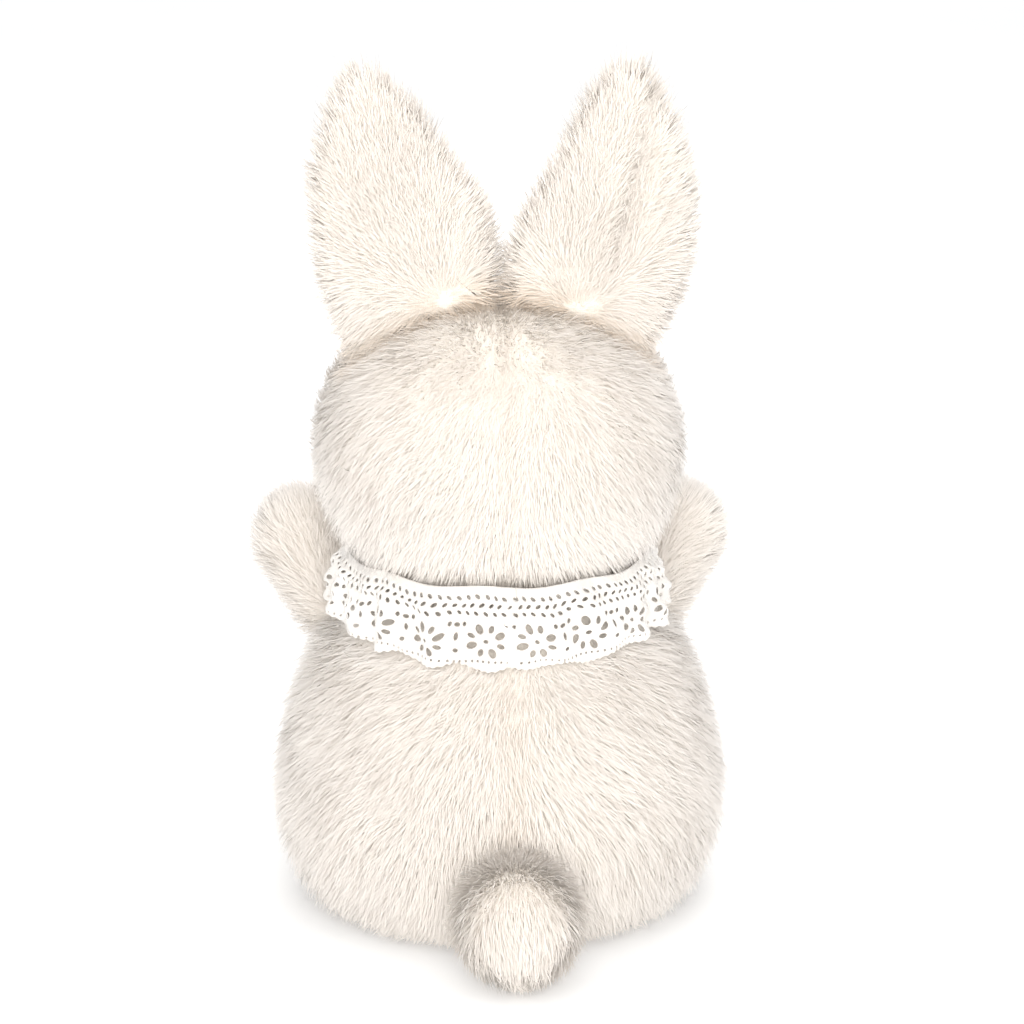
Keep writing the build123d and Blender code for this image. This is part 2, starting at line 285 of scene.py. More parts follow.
def make_mesh(name, vertices, quads, tris=None, normals=None, pile=None, parts=(), uv=None):
    """An object from arrays. parts is (material, how many faces), quads first, then triangles."""
    tris = np.zeros((0, 3), int) if tris is None else tris
    mesh = bpy.data.meshes.new(name)
    loops = np.concatenate([quads.ravel(), tris.ravel()]).astype(np.int32)
    sizes = np.concatenate([np.full(len(quads), 4), np.full(len(tris), 3)])
    starts = np.concatenate([[0], np.cumsum(sizes)[:-1]]).astype(np.int32)
    mesh.vertices.add(len(vertices))
    mesh.loops.add(len(loops))
    mesh.polygons.add(len(sizes))
    mesh.vertices.foreach_set("co", floats(vertices))
    mesh.loops.foreach_set("vertex_index", loops)
    mesh.polygons.foreach_set("loop_start", starts)
    mesh.polygons.foreach_set("use_smooth", np.ones(len(sizes), bool))
    index = np.concatenate([np.full(count, k) for k, (_, count) in enumerate(parts)])
    for material, _ in parts:
        mesh.materials.append(material)
    mesh.polygons.foreach_set("material_index", index.astype(np.int32))
    mesh.update(calc_edges=True)
    if pile is not None:
        layer = mesh.color_attributes.new("pile", "FLOAT_COLOR", "POINT")
        layer.data.foreach_set("color", floats(pile))
    if uv is not None:
        layer = mesh.uv_layers.new(name="OFBake")
        layer.data.foreach_set("uv", floats(uv[loops]))
    if normals is not None:
        mesh.normals_split_custom_set_from_vertices(normals.tolist())
    return add_object(name, mesh)


def centre_seam(points):
    """1 on the seam down the object's middle, falling to 0 beside it."""
    return np.exp(-(points[..., 0] / SEAM_WIDTH) ** 2)


def scatter(points, normals, per_mm2, rng, keep=None):
    """Random places on a grid surface, per_mm2 of them for each mm2, with their normals."""
    faces = grid_faces(*points.shape[:2])
    flat, flat_n = points.reshape(-1, 3), normals.reshape(-1, 3)
    a, b, c, d = (flat[faces[:, k]] for k in range(4))
    area = 0.5 * norm(np.cross(c - a, d - b), axis=1)
    count = int(area.sum() / MM**2 * per_mm2)
    chosen = rng.choice(len(faces), count, p=area / area.sum())
    s, t = rng.random(count)[:, None], rng.random(count)[:, None]
    weight = [(1 - s) * (1 - t), s * (1 - t), s * t, (1 - s) * t]
    place = sum(w * flat[faces[chosen, k]] for k, w in enumerate(weight))
    normal = unit(sum(w * flat_n[faces[chosen, k]] for k, w in enumerate(weight)))
    if keep is not None:
        wanted = keep(place)
        place, normal = place[wanted], normal[wanted]
    return place, normal


def wobble(place, size, seed):
    """A smooth wandering vector at each place, about one turn over size metres."""
    rng = default_rng(seed)
    total = np.zeros_like(place)
    for octave in (1.0, 2.1):
        for _ in range(4):
            wave = unit(rng.normal(size=3)) * 2 * pi / size * octave
            swing = np.sin(place @ wave + rng.random() * 2 * pi)[:, None]
            total += swing * unit(rng.normal(size=3)) / octave
    return total / 2.5


TAPER = (1.0, 0.85, 0.55)  # a strand's width at the foot of each segment, before it ends in a point
SEGMENTS = len(TAPER)
STRAND_POINTS = 2 * SEGMENTS + 1
ROOT_DEPTH = 0.0008
STRAND_OFF_FLOOR = 0.0004


def grow(place, normal, flow, length, width, rise, lie, rng, clump=0.3, spread=0.3, painted_shade=0.0,
         group=14):
    """Strands of pile as tapered ribbons.

    They leave the cloth rise degrees from upright and bend over to lie degrees, along flow, which
    wanders by spread. clump draws the tips of each group of neighbours together, and the painted
    shade amount is how far each strand's colour goes towards the painted shade colour: painted
    shade in the partings of seams, at the feet of the ears and the tail, and under the collar's
    hem.
    """
    count = len(place)
    flow = flow - (flow * normal).sum(1, keepdims=True) * normal
    flow = unit(flow) + spread * rng.normal(size=(count, 3)) + 0.35 * wobble(place, 0.03, 5)
    flow = unit(flow - (flow * normal).sum(1, keepdims=True) * normal)
    length = np.broadcast_to(length, count) * rng.uniform(0.72, 1.18, count)
    rise = np.radians(rise + rng.normal(size=count) * 9)
    lie = np.radians(lie + rng.normal(size=count) * 11)
    path = [place - normal * ROOT_DEPTH]
    ways = []
    for k in range(SEGMENTS):
        lean = (rise + (lie - rise) * ((k + 0.5) / SEGMENTS))[:, None]
        way = unit(np.cos(lean) * normal + np.sin(lean) * flow)
        ways.append(way)
        path.append(path[-1] + way * (length / SEGMENTS)[:, None])
    if clump:
        leaders = rng.choice(count, max(1, count // group), replace=False)
        tree = KDTree(len(leaders))
        for i, leader in enumerate(leaders):
            tree.insert(place[leader], i)
        tree.balance()
        nearest = leaders[np.array([tree.find(p)[1] for p in place])]
        pull = clump * rng.uniform(0.5, 1.3, count)[:, None]
        for k in range(1, SEGMENTS + 1):
            share = np.clip(pull * (k / SEGMENTS) ** 1.4, 0, 0.9)
            path[k] = path[k] * (1 - share) + path[k][nearest] * share
    roll = rng.normal(size=count) * 0.35
    tone = rng.random(count)
    painted_shade = np.broadcast_to(painted_shade, count)
    vertices, normals, pile = [], [], []
    for k in range(SEGMENTS):
        way = ways[k]
        side = unit(np.cross(way, normal) + 1e-9)
        side = unit(side * np.cos(roll)[:, None] + np.cross(way, side) * np.sin(roll)[:, None])
        half = (width * TAPER[k] / 2 * np.ones(count))[:, None]
        vertices += [path[k] - side * half, path[k] + side * half]
        facing = unit(np.cross(side, way))
        facing = facing * np.where((facing * normal).sum(1, keepdims=True) < 0, -1, 1)
        shade = unit(0.9 * normal + 0.2 * facing)
        normals += [shade, shade]
        along = np.stack([np.full(count, k / SEGMENTS), tone, painted_shade, np.ones(count)], 1)
        pile += [along, along]
    vertices.append(path[-1])
    normals.append(normals[-1])
    pile.append(np.stack([np.ones(count), tone, painted_shade * 0.6, np.ones(count)], 1))
    vertices = np.stack(vertices, 1).reshape(-1, 3)
    vertices[:, 2] = np.maximum(vertices[:, 2], STRAND_OFF_FLOOR)
    normals = np.stack(normals, 1).reshape(-1, 3)
    pile = np.stack(pile, 1).reshape(-1, 4)
    start = np.arange(count)[:, None] * STRAND_POINTS
    quads = np.concatenate([start + np.array([2 * k, 2 * k + 1, 2 * k + 3, 2 * k + 2])
                            for k in range(SEGMENTS - 1)])
    tris = start + STRAND_POINTS - np.array([3, 2, 1])
    return vertices, normals, pile, quads, tris


def strand_uv(vertex_count, skin_count):
    """Where each strand's points are on the texture: in one small cell for each strand."""
    strands = (vertex_count - skin_count) // STRAND_POINTS
    cells = int(np.ceil(np.sqrt(strands + 1)))
    cell = np.arange(1, strands + 1)
    corner = np.stack([cell % cells, cell // cells], 1) / cells
    sides = [(0.2 + 0.6 * (k % 2), 0.1 + 0.25 * (k // 2)) for k in range(STRAND_POINTS - 1)]
    within = np.array(sides + [(0.5, 0.9)])
    return (corner[:, None, :] + within[None] / cells).reshape(-1, 2)


def furry(name, nodes, body, skins, tufts, fill=0.75, backing=BACKING, pile_material=FUR,
          slot="fur_fabric", undercoat=UNDERCOAT):
    """One sewn piece: its undercoat, over grids of points and normals, with its long pile.

    undercoat is how thick that is, or a function that gives it for each point.
    """
    vertices, normals, quads, first = [], [], [], 0
    for points, normal in skins:
        thick = undercoat(points)[..., None] if callable(undercoat) else undercoat
        raised = points + thick * normal
        raised[..., 2] = np.maximum(raised[..., 2], OFF_FLOOR)
        vertices.append(raised.reshape(-1, 3))
        normals.append(normal.reshape(-1, 3))
        quads.append(facing_out(points, normal) + first)
        first += points.shape[0] * points.shape[1]
    skin_faces = sum(len(q) for q in quads)
    skin_count = first
    pile = [np.tile([0.25, 0.5, 0.0, 1.0], (skin_count, 1))]
    tris = []
    for v, n, p, q, t in tufts:
        vertices.append(v)
        normals.append(n)
        pile.append(p)
        quads.append(q + first)
        tris.append(t + first)
        first += len(v)
    vertices, normals = np.vstack(vertices), np.vstack(normals)
    quads, tris = np.vstack(quads), np.vstack(tris)
    flat = vertices[:skin_count]
    low, high = flat.min(0), flat.max(0)
    skin_uv = (flat - low)[:, [0, 2]] / max(high - low) * 0.9 / 60  # the skin has one corner
    uv = np.vstack([skin_uv, strand_uv(len(vertices), skin_count)])
    materials = [(backing, skin_faces), (pile_material, len(quads) - skin_faces + len(tris))]
    obj = make_mesh(name, vertices, quads, tris, normals, np.vstack(pile), materials, uv)
    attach(obj, body)
    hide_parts(*nodes)
    return obj


def lathe(outline, origin, axis, toward, start, arc, around):
    """A grid turned from an outline of (radius, distance along axis), and its outward way.

    It starts start degrees round from toward, and goes on for arc degrees.
    """
    axis, toward = unit(np.array(axis, float)), np.array(toward, float)
    toward = unit(toward - axis * (toward @ axis))
    third = np.cross(axis, toward)
    angle = np.radians(start + np.linspace(0, arc, around))
    spoke = np.cos(angle)[:, None] * toward + np.sin(angle)[:, None] * third
    outline = np.array(outline)
    radius, distance = outline[:, 0, None, None], outline[:, 1, None, None]
    points = np.array(origin) + distance * axis + radius * spoke[None]
    slope = np.gradient(outline, axis=0)
    outward = unit(slope[:, 1, None, None] * spoke[None] - slope[:, 0, None, None] * axis)
    return points, outward


# ---- body
BODY_HALF_WIDTH, _, BODY_TOP = box("belly_panel")[1]
# (share of the half width, share of the height)
BODY_SHAPE = [(0.02, 0.003), (0.4, 0.003), (0.637, 0.004), (0.845, 0.059), (0.963, 0.198),
              (1.0, 0.376), (0.948, 0.594), (0.852, 0.782), (0.741, 0.901), (0.692, 0.965),
              (0.676, 1.02), (0.625, 1.07), (0.48, 1.085), (0.26, 1.085)]
body_outline = smooth_curve([(r * BODY_HALF_WIDTH, z * BODY_TOP) for r, z in BODY_SHAPE], 90)
collar_low, collar_high = box("lace_collar")
HEM_LOW = collar_low[2]
PILE_LOW, PILE_HIGH = 0.0012, 0.109  # the body's pile grows between these heights
NECK_HOLLOW = 0.090  # above this it stands out to fill the collar
HEM_RISE = 0.105  # how much the collar's hem rises for each metre towards the front


def body_surface(start, arc, around):
    points, outward = lathe(body_outline, (0, 0, 0), (0, 0, 1), (1, 0, 0), start, arc, around)
    normals = grid_normals(points, outward)
    # the seam down the middle of the back draws the cloth in
    seam = centre_seam(points) * (points[..., 1] > 0)
    points = points - normals * (SEAM_DIP * seam)[..., None]
    return points, normals


def under_collar(place):
    """0 below the collar's hem to 1 a few millimetres above it."""
    hem = HEM_LOW + 0.002 + (collar_high[1] - place[:, 1]) * HEM_RISE
    return clamp((place[:, 2] - hem) / 0.006)


def body_tufts(surface, per_mm2, seed):
    rng = default_rng(seed)
    place, normal = scatter(*surface, per_mm2, rng,
                            lambda p: (p[:, 2] > PILE_LOW) & (p[:, 2] < PILE_HIGH))
    side = np.clip(place[:, :1] / 0.04, -1, 1) * np.array([1.0, 0, 0])
    flow = -UP + 0.35 * side + 0.3 * wobble(place, 0.07, 11)
    inside = clamp((place[:, 2] - NECK_HOLLOW) / 0.005)
    pressed = under_collar(place) * (1 - inside)
    seam = centre_seam(place) * (place[:, 1] > 0)
    radial = unit(place * np.array([1, 1, 0]))
    flow = flow + 1.2 * inside[:, None] * radial
    long = BODY_PILE * (1 - 0.35 * pressed) * (1 - 0.12 * seam) * (1 - 0.5 * inside)
    base = clamp(1 - place[:, 2] / 0.012)
    lie = 66 + 16 * pressed - 6 * base + 12 * inside
    # painted shade in the parting of the back's centre seam, and on the pile under the collar from
    # its hem up
    painted_shade = 0.10 * seam + 0.22 * clamp(1 - np.abs(pressed - 0.3) / 0.7) * (pressed > 0)
    return grow(place, normal, flow, long, STRAND, 18 + 42 * pressed, lie, rng, clump=0.2, painted_shade=painted_shade)


for name, start, arc, per_mm2, seed in (
    ("back_panel_left", 0, 90, 2.2, 21), ("back_panel_right", 90, 90, 2.2, 22),
    ("belly_panel", 180, 180, 1.3, 23),
):
    surface = body_surface(start, arc, int(arc * 0.9) + 2)
    furry(f"{name}_fur", [name], "torso", [surface], [body_tufts(surface, per_mm2, seed)])


# ---- head
head_low, (HEAD_HALF_WIDTH, HEAD_Y, HEAD_TOP) = box("face_left")
HEAD_BOTTOM = head_low[2]
# (share of the half width, share of the height)
HEAD_SHAPE = [(0.2, 0.0), (0.313, 0.003), (0.498, 0.041), (0.719, 0.123), (0.903, 0.266),
              (0.995, 0.452), (0.977, 0.628), (0.838, 0.804), (0.571, 0.93), (0.28, 0.987),
              (0.001, 1.0)]
head_outline = smooth_curve(
    [(r * HEAD_HALF_WIDTH, HEAD_BOTTOM + z * (HEAD_TOP - HEAD_BOTTOM)) for r, z in HEAD_SHAPE], 90)
EYE_CENTRES = {side: sum(box(f"eye_{side}")) / 2 for side in SIDES}
EYE_CLEAR = 0.0052  # no pile this near an eye
NOSE_LOW, NOSE_HIGH = box("nose")
NOSE_CENTRE = (NOSE_LOW + NOSE_HIGH) / 2
NOSE_CLEAR = np.array([0.006, 0.0045])  # nor in this oval round the nose


def bell(place, centre, size):
    return np.exp(-(norm(place - centre, axis=-1) / size) ** 2)


def head_surface(start, arc, around):
    points, outward = lathe(head_outline, (0, HEAD_Y, 0), (0, 0, 1), (1, 0, 0), start, arc, around)
    normals = grid_normals(points, outward)
    front = points[..., 1] < HEAD_Y
    lift = -SEAM_DIP * centre_seam(points) * ~front
    muzzle = NOSE_CENTRE + np.array([0, 0.004, -0.006])
    lift = lift + front * 0.0035 * bell(points, muzzle, 0.018)
    for centre in EYE_CENTRES.values():
        lift = lift - front * 0.0012 * bell(points, centre, 0.011)
    points = points + normals * lift[..., None]
    return points, grid_normals(points, normals)


def to_side(points):
    """0 at the nose to 1 at the seam down the side of the head."""
    return clamp((points[..., 1] - NOSE_CENTRE[1]) / (HEAD_Y - NOSE_CENTRE[1]))


def face_undercoat(points):
    """Hardly any by the nose and eyes, and as thick as on the back of the head at the side seam."""
    return THIN_UNDERCOAT + (UNDERCOAT - THIN_UNDERCOAT) * to_side(points) ** 2


def head_tufts(surface, per_mm2, seed, front):
    rng = default_rng(seed)

    def keep(p):
        wanted = p[:, 2] > HEAD_BOTTOM + 0.001
        behind = p[:, 1] > HEAD_Y
        for centre in EYE_CENTRES.values():
            wanted &= (norm((p - centre)[:, [0, 2]], axis=1) > EYE_CLEAR) | behind
        near_nose = norm((p - NOSE_CENTRE)[:, [0, 2]] / NOSE_CLEAR, axis=1)
        return wanted & ((near_nose > 1) | behind)

    place, normal = scatter(*surface, per_mm2, rng, keep)
    middle = np.array([0, HEAD_Y, (HEAD_BOTTOM + HEAD_TOP) / 2])
    if front:
        flow = (place - NOSE_CENTRE) * np.array([1, 0, 1]) / 0.03 + 0.2 * wobble(place, 0.06, 12)
        from_eyes = min_distance(place, EYE_CENTRES.values())
        from_nose = norm(place - NOSE_CENTRE, axis=1)
        near = np.clip(np.minimum(from_eyes / 0.02, from_nose / 0.03), 0.25, 1)
        edge = to_side(place)
        length = (NOSE_PILE + CHEEK_MORE * edge) * near
        lie = 76 - 10 * edge
        painted_shade = 0.0
    else:
        out = np.clip(place[:, :1] / 0.03, -1, 1) * np.array([1.0, 0, 0])
        crown = clamp((place[:, 2:] - middle[2]) / 0.04)
        radial = unit((place - middle) * np.array([1, 1, 0]))
        flow = -0.9 * UP + 0.5 * out + 0.9 * crown * radial + 0.3 * wobble(place, 0.07, 13)
        seam = centre_seam(place)
        length = HEAD_PILE * (1 - 0.12 * seam) * (1 - 0.15 * crown[:, 0])
        lie = 68 + 8 * crown[:, 0]
        # painted shade in the parting of the head's centre seam and beside the foot of each ear
        painted_shade = 0.06 * seam + 0.45 * near_ears(place)
    neck = clamp((HEAD_BOTTOM + 0.022 - place[:, 2]) / 0.02)
    length = length + 0.003 * neck
    lie = lie - 22 * neck
    return grow(place, normal, flow, length, STRAND, 18, lie, rng, clump=0.2, painted_shade=painted_shade)


EAR_FOOT = 0.044  # how long the seam along an ear's foot is


def near_ears(place):
    """1 beside the foot of an ear, falling to 0 a few millimetres away."""
    nearest = np.full(len(place), 1.0)
    for side in SIDES:
        joint = JOINTS[f"{side}_ear_fold"]
        way = unit(np.array(joint["axis"], float)) * SIDES[side]
        root = np.array(joint["pos_m"])
        along = np.clip((place - root) @ way, 0, EAR_FOOT)[:, None]
        nearest = np.minimum(nearest, norm(place - root - along * way, axis=1))
    return np.exp(-((nearest - 0.006) / 0.0025) ** 2)


def min_distance(place, centres):
    return np.min([norm(place - centre, axis=1) for centre in centres], axis=0)


for name, start, per_mm2, seed in (
    ("head_back_left", 0, 2.2, 31), ("head_back_right", 90, 2.2, 32),
    ("face_right", 180, 1.8, 33), ("face_left", 270, 1.8, 34),
):
    surface = head_surface(start, 90, 82)
    is_face = name.startswith("face")
    furry(f"{name}_fur", [name], "head", [surface], [head_tufts(surface, per_mm2, seed, is_face)],
          undercoat=face_undercoat if is_face else UNDERCOAT)


# ---- ears
EAR_MIDDLE = np.array([17, 38]) * MM
EAR_OUTLINE = np.array([(2, -2), (-5, 9), (-9.3, 24), (-7, 44.5), (-3.2, 66), (4.2, 78.5),
                        (12.6, 75.2), (23.5, 65), (33, 50.5), (40, 30), (43.4, 9.3), (42, -2),
                        (22, 0)]) * MM
EAR_TALL = 0.0765
EAR_HALF = np.array([0.026, 0.039])  # half its width and height
EAR_RINGS, EAR_AROUND, EAR_EDGE = 34, 120, 700  # points across, round and along the fringe
FRINGE_STRANDS = 2600
EAR_LEAN = radians(4)
EAR_CUP = 0.0045
EAR_BACK, EAR_FRONT = 0.0034, 0.0023  # how far each face stands from the middle


def ear_frame(side):
    across = SIDES[side]
    joint = JOINTS[f"{side}_ear_fold"]
    along = unit(np.array(joint["axis"], float)) * across
    upright = np.array([-along[2], 0, along[0]]) * across
    upright = upright * cos(EAR_LEAN) + np.array([0, 1.0, 0]) * sin(EAR_LEAN)
    forward = unit(np.cross(along, upright)) * across
    return np.array(joint["pos_m"]), along, upright, forward


def ear_edge(side, outline, count):
    """An ear's own edge: the right ear's bellies outwards and its tip curls in."""
    edge = smooth_curve(outline, count)
    if side == "right":
        height = clamp(edge[:, 1] / EAR_TALL)
        edge[:, 0] += 0.0035 * np.sin(pi * clamp(height * 1.15)) - 0.0025 * height**4
    return edge


def ear_dish(flat):
    """How far the leaf of the ear comes forward at a place on it."""
    return EAR_CUP * ((flat[..., 0] - EAR_MIDDLE[0]) / EAR_HALF[0]) ** 2


def ear_surface(side, front):
    """A dished leaf: rings from its middle out to its edge."""
    root, along, upright, forward = ear_frame(side)
    edge = ear_edge(side, np.vstack([EAR_OUTLINE, EAR_OUTLINE[:1]]), EAR_AROUND)
    ring = np.linspace(0.001, 1, EAR_RINGS)[:, None, None]
    flat = EAR_MIDDLE + ring * (edge - EAR_MIDDLE)[None]
    puff = np.sqrt(clamp(1 - ring[..., 0] ** 6)) * np.ones(flat.shape[:2])
    offset = (EAR_FRONT if front else -EAR_BACK) * puff
    dish = ear_dish(flat)
    if side == "right":
        # a soft crease down the right ear
        crease = flat[..., 0] - 0.02 + 0.25 * (flat[..., 1] - 0.04)
        dish = dish + 0.0028 * np.exp(-(crease / 0.004) ** 2) * clamp(flat[..., 1] / 0.03)
    depth = (offset + dish)[..., None]
    points = root + flat[..., :1] * along + flat[..., 1:] * upright + depth * forward
    outward = np.broadcast_to(forward if front else -forward, points.shape)
    return points, grid_normals(points, outward)


def ear_tufts(side, surface, front, seed):
    root, along, upright, _ = ear_frame(side)
    rng = default_rng(seed)
    place, normal = scatter(*surface, 2.2 if front else 2.8, rng)
    local = np.stack([(place - root) @ along, (place - root) @ upright], 1)
    from_middle = local - EAR_MIDDLE
    spoke = from_middle[:, :1] * along + from_middle[:, 1:] * upright
    if front:
        return grow(place, normal, upright + 6 * spoke, EAR_VELOUR, 0.0004, 10, 45, rng, clump=0.2)
    edge = np.clip(norm(from_middle / EAR_HALF, axis=1), 0, 1.2)[:, None]
    flow = (1.0 - 0.35 * edge) * upright + 24 * spoke * edge + 0.25 * wobble(place, 0.05, 14)
    base = clamp(1 - local[:, 1] / 0.02)
    # painted shade along the foot of the ear, where it meets the head
    painted_shade = 0.55 * np.exp(-((local[:, 1] - 0.001) / 0.0045) ** 2)
    return grow(place, normal, flow, EAR_PILE, FINE_STRAND, 24, 68 + 6 * base, rng, painted_shade=painted_shade)


def ear_fringe(side, seed):
    """The long pile that shows past an ear's edge."""
    root, along, upright, forward = ear_frame(side)
    rng = default_rng(seed)
    edge = ear_edge(side, EAR_OUTLINE[:-1], EAR_EDGE)
    tangent = np.gradient(edge, axis=0)
    out = unit(np.stack([tangent[:, 1], -tangent[:, 0]], 1))
    out = out * np.sign((out * (edge - EAR_MIDDLE)).sum(1, keepdims=True))
    chosen = rng.integers(0, len(edge), FRINGE_STRANDS)
    flat = edge[chosen] - out[chosen] * rng.uniform(0, 0.003, FRINGE_STRANDS)[:, None]
    depth = (ear_dish(flat) - 0.0008)[:, None]
    place = root + flat[:, :1] * along + flat[:, 1:] * upright + depth * forward
    outward = out[chosen][:, :1] * along + out[chosen][:, 1:] * upright
    normal = unit(outward * 0.8 - forward * rng.uniform(-0.2, 0.9, FRINGE_STRANDS)[:, None])
    tall = clamp(flat[:, 1] / EAR_TALL)
    flow = upright + 0.2 * wobble(place, 0.04, 15)
    return grow(place, normal, flow, FRINGE_PILE + 0.0015 * tall**4, 0.00034, 20, 46, rng)


VELOUR_CLOTH = {"backing": VELOUR, "pile_material": VELOUR_PILE, "slot": "velour",
                "undercoat": VELOUR_UNDERCOAT}


for n, side in enumerate(SIDES):
    body = f"{side}_ear"
    back, lining = ear_surface(side, False), ear_surface(side, True)
    furry(f"ear_back_{side}_fur", [f"ear_back_{side}"], body, [back],
          [ear_tufts(side, back, False, 41 + n), ear_fringe(side, 43 + n)], fill=0.4,
          undercoat=0.0015)
    furry(f"ear_lining_{side}_velour", [f"ear_lining_{side}"], body, [lining],
          [ear_tufts(side, lining, True, 45 + n)], fill=0.3, **VELOUR_CLOTH)


# ---- arms, legs and tail
def capsule_outline(root_radius, end_radius, length, count=46):
    """Half the section of a round limb: a ball at each end and a straight side between."""
    slope = (end_radius - root_radius) / length
    turn = np.arcsin(slope)
    back = np.linspace(-pi / 2 + 0.03, -turn, count // 3)
    tip = np.linspace(-turn, pi / 2 - 0.03, count // 2)
    a = np.stack([root_radius * np.cos(back), root_radius * np.sin(back)], 1)
    b = np.stack([end_radius * np.cos(tip), length + end_radius * np.sin(tip)], 1)
    side = np.linspace(a[-1], b[0], 8)[1:-1]
    return np.vstack([a, side, b])


def limb_surface(root, end, root_radius, end_radius, start, arc, around):
    root, end = np.array(root, float), np.array(end, float)
    outline = capsule_outline(root_radius, end_radius, norm(end - root))
    sideways = np.cross(UP, end - root)
    if norm(sideways) < 1e-6:
        sideways = np.array([1.0, 0, 0])
    points, outward = lathe(outline, root, end - root, sideways, start, arc, around)
    return points, grid_normals(points, outward)


ARM_ROOT_RADIUS, PAW_RADIUS = 0.011, 0.0135
for n, (side, across) in enumerate(SIDES.items()):
    shoulder = pivot(f"{side}_arm_swing")
    outer, inner = box(f"arm_outer_{side}"), box(f"arm_inner_{side}")
    arm_low, arm_high = np.minimum(outer[0], inner[0]), np.maximum(outer[1], inner[1])
    paw = np.array([arm_high[0] - PAW_RADIUS if across > 0 else arm_low[0] + PAW_RADIUS,
                    arm_low[1] + PAW_RADIUS, arm_high[2] - PAW_RADIUS])
    way = unit(paw - shoulder)
    for k, half in enumerate(("outer", "inner")):
        start = (180 if across > 0 else 0) + 180 * k
        surface = limb_surface(shoulder, paw, ARM_ROOT_RADIUS, PAW_RADIUS, start, 180, 44)
        rng = default_rng(51 + 4 * n + k)
        place, normal = scatter(*surface, 2.4, rng)
        reach = (place - paw) @ way
        flow = way + 0.35 * unit(place - paw) - 0.25 * UP + 0.2 * wobble(place, 0.03, 16)
        lie = 68 - 14 * clamp(reach / PAW_RADIUS)
        tufts = grow(place, normal, flow, ARM_PILE, FINE_STRAND, 20, lie, rng)
        furry(f"arm_{half}_{side}_fur", [f"arm_{half}_{side}"], f"{side}_arm", [surface], [tufts],
              undercoat=0.0014)

LEG_RADIUS, ANKLE_RADIUS, FOOT_RADIUS = 0.016, 0.014, 0.015
PAD_ACROSS, PAD_TALL, PAD_THICK = 0.0105, 0.0135, 0.0016  # the sole's half width and height


def cut_at_sole(surface, sole_y):
    """A foot's surface, cut flat at its sole and kept off the floor."""
    points, normals = surface
    flat = points[..., 1] < sole_y + 0.0002
    points[..., 1] = np.where(flat, sole_y + 0.0002, points[..., 1])
    points[..., 2] = np.maximum(points[..., 2], OFF_FLOOR)
    normals[flat] = (0, -1, 0)
    return points, normals


def off_sole(p, middle):
    """Whether a place on a foot is outside the velour of its sole, and off the floor."""
    on_face = p[:, 1] < middle[1] + 0.0006
    inside = norm((p - middle)[:, [0, 2]] / np.array([0.0104, 0.0134]), axis=1) < 1
    return ~(on_face & inside) & (p[:, 2] > 0.001)


for n, side in enumerate(SIDES):
    hip = pivot(f"{side}_leg_lift")
    sole_low, sole_high = box(f"sole_pad_{side}")
    leg_high = box(f"leg_cover_{side}")[1]
    sole_y = sole_high[1]
    foot_x = (sole_low[0] + sole_high[0]) / 2
    foot_y = sole_y + 0.01
    ankle = np.array([foot_x, foot_y + 0.003, ANKLE_RADIUS])
    heel = np.array([foot_x, foot_y, FOOT_RADIUS])
    toe = np.array([foot_x, foot_y, leg_high[2] - FOOT_RADIUS])
    shin = limb_surface(hip, ankle, LEG_RADIUS, ANKLE_RADIUS, 0, 360, 64)
    shin[0][..., 2] = np.maximum(shin[0][..., 2], OFF_FLOOR)
    foot = cut_at_sole(limb_surface(heel, toe, FOOT_RADIUS, FOOT_RADIUS, 0, 360, 64), sole_y)
    rng = default_rng(61 + n)
    place, normal = scatter(*shin, 1.4, rng,
                            lambda p: (p[:, 1] > foot_y + 0.004) & (p[:, 2] > 0.001))
    flow = unit(ankle - hip) * 0.9 - 0.5 * UP + 0.25 * wobble(place, 0.04, 17)
    shin_tufts = grow(place, normal, flow, SHIN_PILE, 0.00042, 22, 68, rng)
    sole_middle = np.array([foot_x, sole_y, leg_high[2] / 2])
    place, normal = scatter(*foot, 1.6, rng, lambda p: off_sole(p, sole_middle))
    flow = 0.28 * UP * np.sign(place[:, 2:] - 0.02) + unit(place - sole_middle)
    flow = flow - np.array([0, 0.4, 0])
    foot_tufts = grow(place, normal, flow, FOOT_PILE, 0.0004, 22, 62, rng)
    furry(f"leg_{side}_fur", [f"leg_cover_{side}"], f"{side}_leg", [shin, foot],
          [shin_tufts, foot_tufts], undercoat=0.0008)

    # the velour sole: a low cushion of short pile
    ring = np.linspace(0.01, 1, 16)[:, None]
    turn = np.linspace(0, 2 * pi, 60)[None]
    rise = PAD_THICK * np.sqrt(clamp(1 - ring**4)) * np.ones_like(turn)
    dome = np.stack([sole_middle[0] + PAD_ACROSS * ring * np.cos(turn), sole_y - 0.0002 - rise,
                     sole_middle[2] + PAD_TALL * ring * np.sin(turn)], -1)
    pad = (dome, grid_normals(dome, np.broadcast_to([0.0, -1.0, 0.0], dome.shape)))
    place, normal = scatter(*pad, 3.0, rng)
    pad_tufts = grow(place, normal, UP - 0.1, SOLE_VELOUR, 0.0003, 10, 40, rng, clump=0.2)
    furry(f"sole_pad_{side}_velour", [f"sole_pad_{side}"], f"{side}_leg", [pad], [pad_tufts],
          fill=0.5, **VELOUR_CLOTH)

tail_high = box("tail_cover")[1]
TAIL_RADIUS = tail_high[0]
tail_root = pivot("tail_lift")
tail_length = tail_high[1] - tail_root[1]
